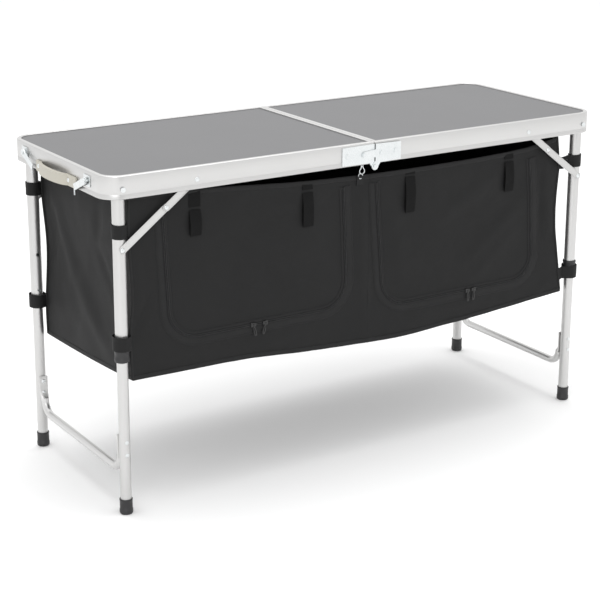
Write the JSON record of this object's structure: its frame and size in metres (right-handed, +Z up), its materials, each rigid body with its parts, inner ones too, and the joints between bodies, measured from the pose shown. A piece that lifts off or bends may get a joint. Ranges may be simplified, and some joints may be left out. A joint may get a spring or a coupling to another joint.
{
  "type": "folding table",
  "caption": "Folding camping table with aluminium legs that telescope and fold, two laminate top halves and a zipped fabric organiser under the top.",
  "frame": {"origin": "on the floor under the middle of the table with its handle and latches, at bounding-box bottom centre", "axes": "+Z up, +X along the length from the handle end to the far end, +Y from the zipped front to the rear"},
  "size_m": [1.2253, 0.4524, 0.68],
  "materials": {
    "aluminium": "satin anodised, finely brushed",
    "zinc_plate": "bright zinc plate",
    "grey_laminate": "fine matt laminate on board",
    "black_plastic": "moulded plastic, satin",
    "beige_plastic": "moulded strap, satin",
    "black_fabric": "woven polyester, matt"
  },
  "bodies": {
    "left_top": {"left_rim": "aluminium", "left_panel": "grey_laminate", "left_seam_edge": "aluminium", "front_hinge_left_leaf": "zinc_plate", "front_left_leg_pivot_rivet": "zinc_plate", "rear_hinge_left_leaf": "zinc_plate", "rear_left_leg_pivot_rivet": "zinc_plate", "left_compartment": "black_fabric", "front_hinge_pin": "zinc_plate", "front_latch_base": "zinc_plate", "rear_hinge_pin": "zinc_plate", "rear_latch_base": "zinc_plate", "carry_handle": "beige_plastic"},
    "right_top": {"right_rim": "aluminium", "right_panel": "grey_laminate", "right_seam_edge": "aluminium", "front_hinge_right_leaf": "zinc_plate", "front_right_leg_pivot_rivet": "zinc_plate", "rear_hinge_right_leaf": "zinc_plate", "rear_right_leg_pivot_rivet": "zinc_plate", "right_compartment": "black_fabric", "front_latch_keeper": "zinc_plate", "rear_latch_keeper": "zinc_plate"},
    "left_legs": {"front_left_upper_leg": "aluminium", "front_left_collar": "black_plastic", "rear_left_upper_leg": "aluminium", "rear_left_collar": "black_plastic"},
    "left_lower_legs": {"front_left_lower_leg": "aluminium", "front_left_foot_cap": "black_plastic", "rear_left_lower_leg": "aluminium", "rear_left_foot_cap": "black_plastic", "left_stretcher": "aluminium"},
    "front_left_button": {"front_left_snap_button": "zinc_plate"},
    "front_left_upper_link": {"front_left_brace_upper_link": "aluminium"},
    "front_left_lower_link": {"front_left_brace_lower_link": "aluminium"},
    "rear_left_button": {"rear_left_snap_button": "zinc_plate"},
    "rear_left_upper_link": {"rear_left_brace_upper_link": "aluminium"},
    "rear_left_lower_link": {"rear_left_brace_lower_link": "aluminium"},
    "left_door": {"left_door": "black_fabric"},
    "left_zip_slider": {"left_zip_slider": "black_plastic"},
    "right_legs": {"front_right_upper_leg": "aluminium", "front_right_collar": "black_plastic", "rear_right_upper_leg": "aluminium", "rear_right_collar": "black_plastic"},
    "right_lower_legs": {"front_right_lower_leg": "aluminium", "front_right_foot_cap": "black_plastic", "rear_right_lower_leg": "aluminium", "rear_right_foot_cap": "black_plastic", "right_stretcher": "aluminium"},
    "front_right_button": {"front_right_snap_button": "zinc_plate"},
    "front_right_upper_link": {"front_right_brace_upper_link": "aluminium"},
    "front_right_lower_link": {"front_right_brace_lower_link": "aluminium"},
    "rear_right_button": {"rear_right_snap_button": "zinc_plate"},
    "rear_right_upper_link": {"rear_right_brace_upper_link": "aluminium"},
    "rear_right_lower_link": {"rear_right_brace_lower_link": "aluminium"},
    "right_door": {"right_door": "black_fabric"},
    "right_zip_slider": {"right_zip_slider": "black_plastic"},
    "front_latch_lever": {"front_latch_lever": "zinc_plate"},
    "rear_latch_lever": {"rear_latch_lever": "zinc_plate"},
    "snap_clip": {"snap_clip": "zinc_plate"}
  },
  "joints": [
    {"name": "centre_fold", "type": "hinge", "parent": "left_top", "child": "right_top", "pos_m": [0.0076, 0, 0.63], "axis": [0, 1, 0], "range_deg": [0, 75], "deforming": ["left_compartment", "right_compartment", "left_door", "right_door"]},
    {"name": "left_leg_fold", "type": "hinge", "parent": "left_top", "child": "left_legs", "pos_m": [-0.5574, 0, 0.654], "axis": [0, -1, 0], "range_deg": [0, 90], "deforming": ["left_zip_slider"]},
    {"name": "left_leg_height", "type": "slide", "parent": "left_legs", "child": "left_lower_legs", "axis": [0, 0, 1], "range_m": [0, 0.145], "deforming": ["front_left_snap_button", "rear_left_snap_button"]},
    {"name": "front_left_upper_link_turn", "type": "hinge", "parent": "left_top", "child": "front_left_upper_link", "pos_m": [-0.4014, -0.213, 0.654], "axis": [0, -1, 0], "range_deg": [0, 142.9]},
    {"name": "front_left_lower_link_turn", "type": "hinge", "parent": "left_legs", "child": "front_left_lower_link", "pos_m": [-0.5574, -0.212, 0.536], "axis": [0, 1, 0], "range_deg": [0, 127.11]},
    {"name": "front_left_button_press", "type": "slide", "parent": "left_lower_legs", "child": "front_left_button", "axis": [0, -1, 0], "range_m": [0, 0.0045], "stiffness_N_per_m": 400},
    {"name": "rear_left_upper_link_turn", "type": "hinge", "parent": "left_top", "child": "rear_left_upper_link", "pos_m": [-0.4014, 0.213, 0.654], "axis": [0, -1, 0], "range_deg": [0, 142.9]},
    {"name": "rear_left_lower_link_turn", "type": "hinge", "parent": "left_legs", "child": "rear_left_lower_link", "pos_m": [-0.5574, 0.212, 0.536], "axis": [0, 1, 0], "range_deg": [0, 127.11]},
    {"name": "rear_left_button_press", "type": "slide", "parent": "left_lower_legs", "child": "rear_left_button", "axis": [0, 1, 0], "range_m": [0, 0.0045], "stiffness_N_per_m": 400},
    {"name": "left_door_lift", "type": "hinge", "parent": "left_top", "child": "left_door", "pos_m": [-0.2564, -0.202, 0.592], "axis": [-1, 0, 0], "range_deg": [0, 100]},
    {"name": "left_zip_slide", "type": "slide", "parent": "left_door", "child": "left_zip_slider", "axis": [1, 0, 0], "range_m": [-0.12, 0.12]},
    {"name": "right_leg_fold", "type": "hinge", "parent": "right_top", "child": "right_legs", "pos_m": [0.5726, 0, 0.654], "axis": [0, 1, 0], "range_deg": [0, 90], "deforming": ["right_zip_slider"]},
    {"name": "right_leg_height", "type": "slide", "parent": "right_legs", "child": "right_lower_legs", "axis": [0, 0, 1], "range_m": [0, 0.145], "deforming": ["front_right_snap_button", "rear_right_snap_button"]},
    {"name": "front_right_upper_link_turn", "type": "hinge", "parent": "right_top", "child": "front_right_upper_link", "pos_m": [0.4166, -0.213, 0.654], "axis": [0, 1, 0], "range_deg": [0, 142.9]},
    {"name": "front_right_lower_link_turn", "type": "hinge", "parent": "right_legs", "child": "front_right_lower_link", "pos_m": [0.5726, -0.212, 0.536], "axis": [0, -1, 0], "range_deg": [0, 127.11]},
    {"name": "front_right_button_press", "type": "slide", "parent": "right_lower_legs", "child": "front_right_button", "axis": [0, -1, 0], "range_m": [0, 0.0045], "stiffness_N_per_m": 400},
    {"name": "rear_right_upper_link_turn", "type": "hinge", "parent": "right_top", "child": "rear_right_upper_link", "pos_m": [0.4166, 0.213, 0.654], "axis": [0, 1, 0], "range_deg": [0, 142.9]},
    {"name": "rear_right_lower_link_turn", "type": "hinge", "parent": "right_legs", "child": "rear_right_lower_link", "pos_m": [0.5726, 0.212, 0.536], "axis": [0, -1, 0], "range_deg": [0, 127.11]},
    {"name": "rear_right_button_press", "type": "slide", "parent": "right_lower_legs", "child": "rear_right_button", "axis": [0, 1, 0], "range_m": [0, 0.0045], "stiffness_N_per_m": 400},
    {"name": "right_door_lift", "type": "hinge", "parent": "right_top", "child": "right_door", "pos_m": [0.2411, -0.202, 0.592], "axis": [-1, 0, 0], "range_deg": [0, 100]},
    {"name": "right_zip_slide", "type": "slide", "parent": "right_door", "child": "right_zip_slider", "axis": [1, 0, 0], "range_m": [-0.15, 0.09]},
    {"name": "front_latch_turn", "type": "hinge", "parent": "left_top", "child": "front_latch_lever", "pos_m": [-0.5983, -0.144, 0.661], "axis": [-1, 0, 0], "range_deg": [-25, 65]},
    {"name": "rear_latch_turn", "type": "hinge", "parent": "left_top", "child": "rear_latch_lever", "pos_m": [-0.5983, 0.144, 0.661], "axis": [1, 0, 0], "range_deg": [-25, 65]},
    {"name": "snap_clip_swing", "type": "hinge", "parent": "left_top", "child": "snap_clip", "pos_m": [-0.0164, -0.212, 0.6334], "axis": [1, 0, 0], "range_deg": [-15, 25]}
  ],
  "couplings": [
    {"joint": "front_left_upper_link_turn", "follows": "left_leg_fold", "ratio": 1.5877},
    {"joint": "front_left_lower_link_turn", "follows": "left_leg_fold", "ratio": 1.4122},
    {"joint": "rear_left_upper_link_turn", "follows": "left_leg_fold", "ratio": 1.5877},
    {"joint": "rear_left_lower_link_turn", "follows": "left_leg_fold", "ratio": 1.4122},
    {"joint": "front_right_upper_link_turn", "follows": "right_leg_fold", "ratio": 1.5877},
    {"joint": "front_right_lower_link_turn", "follows": "right_leg_fold", "ratio": 1.4122},
    {"joint": "rear_right_upper_link_turn", "follows": "right_leg_fold", "ratio": 1.5877},
    {"joint": "rear_right_lower_link_turn", "follows": "right_leg_fold", "ratio": 1.4122}
  ]
}
